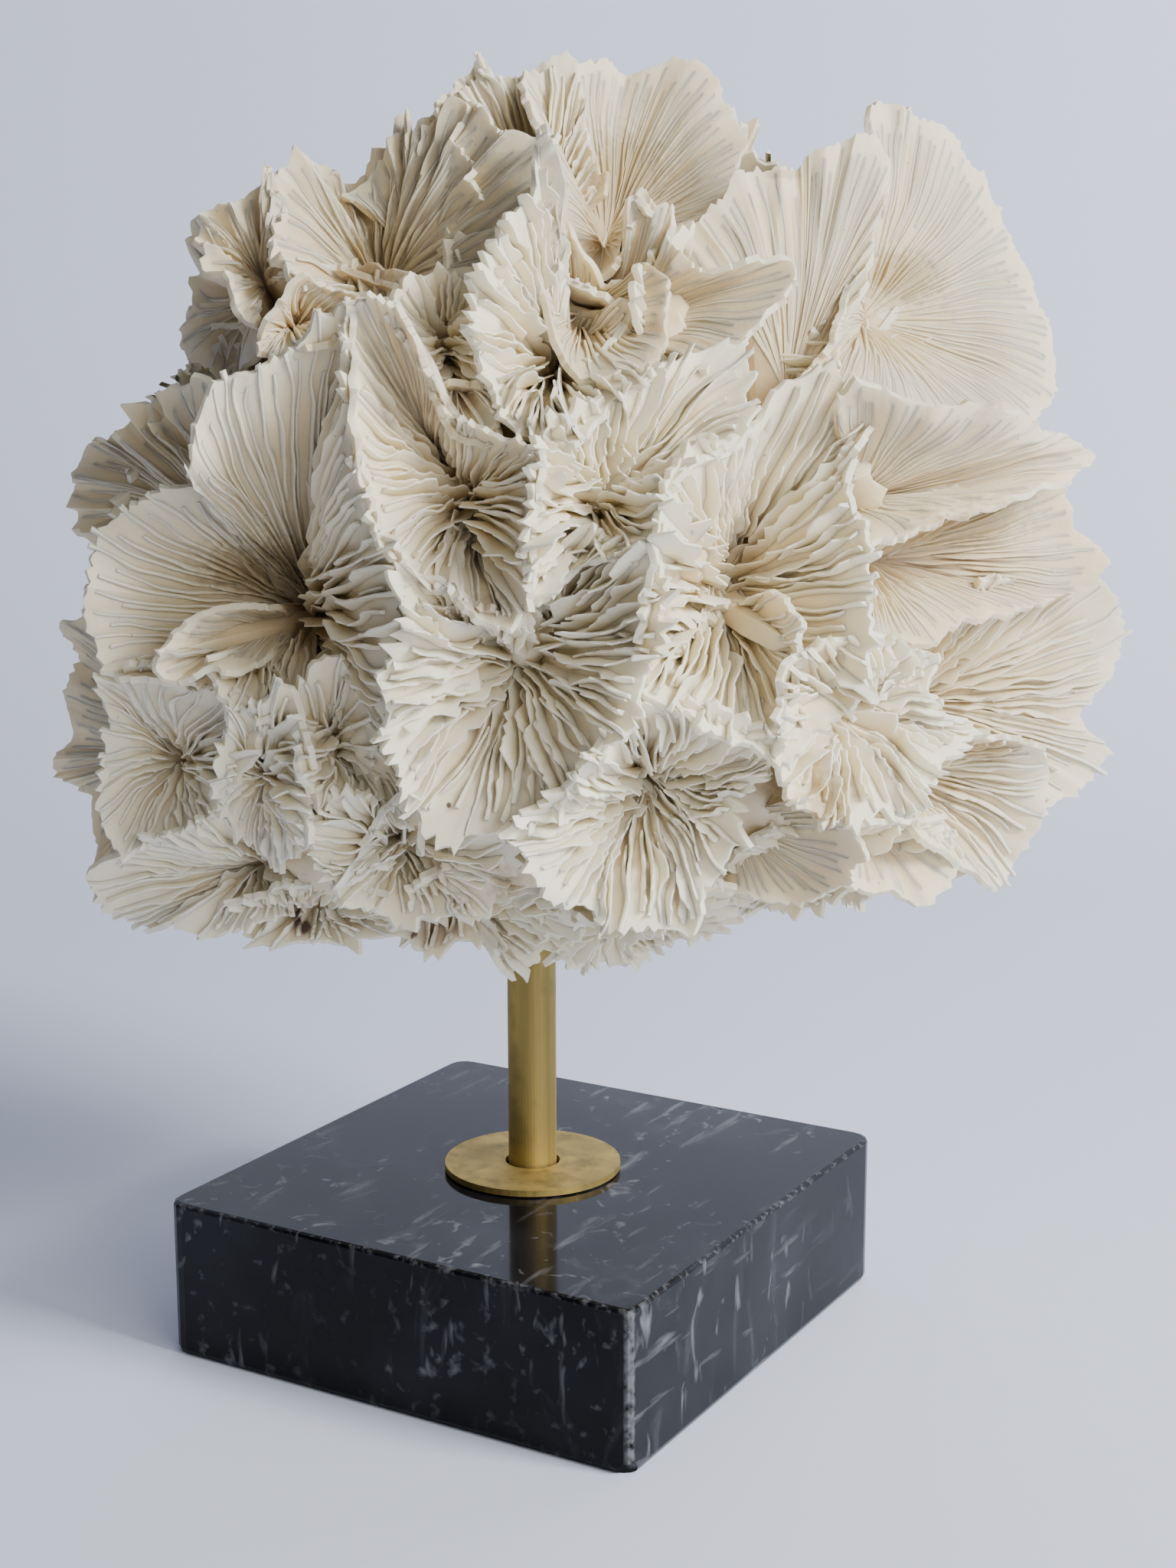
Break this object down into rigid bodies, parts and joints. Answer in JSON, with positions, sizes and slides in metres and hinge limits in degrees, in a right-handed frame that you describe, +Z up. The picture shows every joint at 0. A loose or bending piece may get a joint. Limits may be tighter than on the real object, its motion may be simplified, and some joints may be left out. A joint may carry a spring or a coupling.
{
  "type": "mushroom coral on a stand",
  "caption": "Folded mushroom coral with thin ridged cups, held up by a brass rod with a washer on a square black marble base",
  "frame": {"origin": "middle of the marble base's underside", "axes": "+Z up along the rod; X and Y along the base's sides. The coral's face looks 30 degrees to one side of -Y, towards +X"},
  "size_m": [0.1766, 0.1694, 0.2369],
  "materials": {
    "coral": "matte chalky skeleton, cream white, warmer in the hollows",
    "brass": "satin, drawn",
    "black_marble": "polished, with grey and white flecks"
  },
  "bodies": {
    "root": {"coral": "coral", "brass_rod": "brass", "brass_washer": "brass", "marble_base": "black_marble"}
  },
  "joints": []
}
